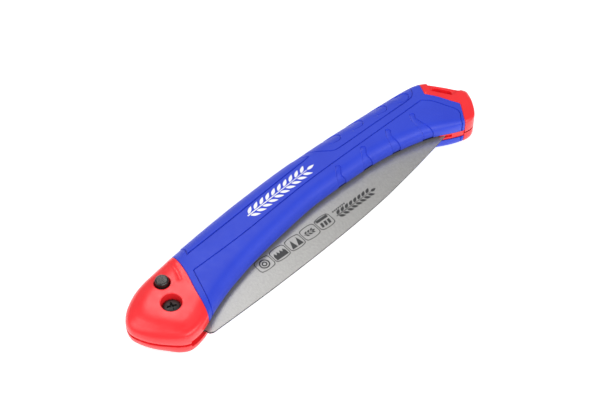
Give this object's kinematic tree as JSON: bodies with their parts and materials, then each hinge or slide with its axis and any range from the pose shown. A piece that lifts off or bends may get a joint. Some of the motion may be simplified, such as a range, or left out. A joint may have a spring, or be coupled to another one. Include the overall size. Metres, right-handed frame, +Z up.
{
  "type": "folding pruning saw",
  "caption": "Folding pruning saw with a curved two-shell handle, soft overmoulded grips, a steel blade folded into it and a push-button blade lock.",
  "frame": {"origin": "middle of the bounding box on the plane the closed saw lies on; the blade pivot axis stands at x -97.45 mm, y -6.4 mm", "axes": "+X from the pivot end to the tail, +Y towards the convex back of the handle, +Z up through the handle's thickness, along the pivot axis"},
  "size_m": [0.2434, 0.0576, 0.023],
  "materials": {
    "red_plastic": "satin moulded",
    "blue_grip": "satin soft-touch",
    "blade_steel": "ground satin",
    "black_steel": "black oxide",
    "plain_steel": "zinc plated",
    "spring_steel": "drawn wire",
    "black_screw": "black oxide"
  },
  "bodies": {
    "handle": {"shell_upper": "red_plastic", "shell_lower": "red_plastic", "grip_upper": "blue_grip", "grip_lower": "blue_grip", "pivot_bolt": "black_steel", "pivot_bushing": "plain_steel", "thrust_washer_upper": "plain_steel", "thrust_washer_lower": "plain_steel", "nut_flat_washer": "plain_steel", "nut_spring_washer": "plain_steel", "pivot_nut": "plain_steel", "lock_spring": "spring_steel", "shell_screw_1": "black_screw", "shell_screw_2": "black_screw", "shell_screw_3": "black_screw", "shell_screw_4": "black_screw", "shell_screw_5": "black_screw", "shell_screw_6": "black_screw"},
    "blade": {"saw_blade": "blade_steel"},
    "button": {"lock_button": "black_steel"}
  },
  "joints": [
    {"name": "blade_pivot", "type": "hinge", "parent": "handle", "child": "blade", "pos_m": [-0.09745, -0.0064, 0.01025], "axis": [0, 0, -1], "range_deg": [0, 180]},
    {"name": "lock_button_press", "type": "slide", "parent": "handle", "child": "button", "axis": [0, 0, -1], "range_m": [0, 0.0024], "stiffness_N_per_m": 1500, "springref_m": -0.003, "deforming": ["lock_spring"]}
  ]
}
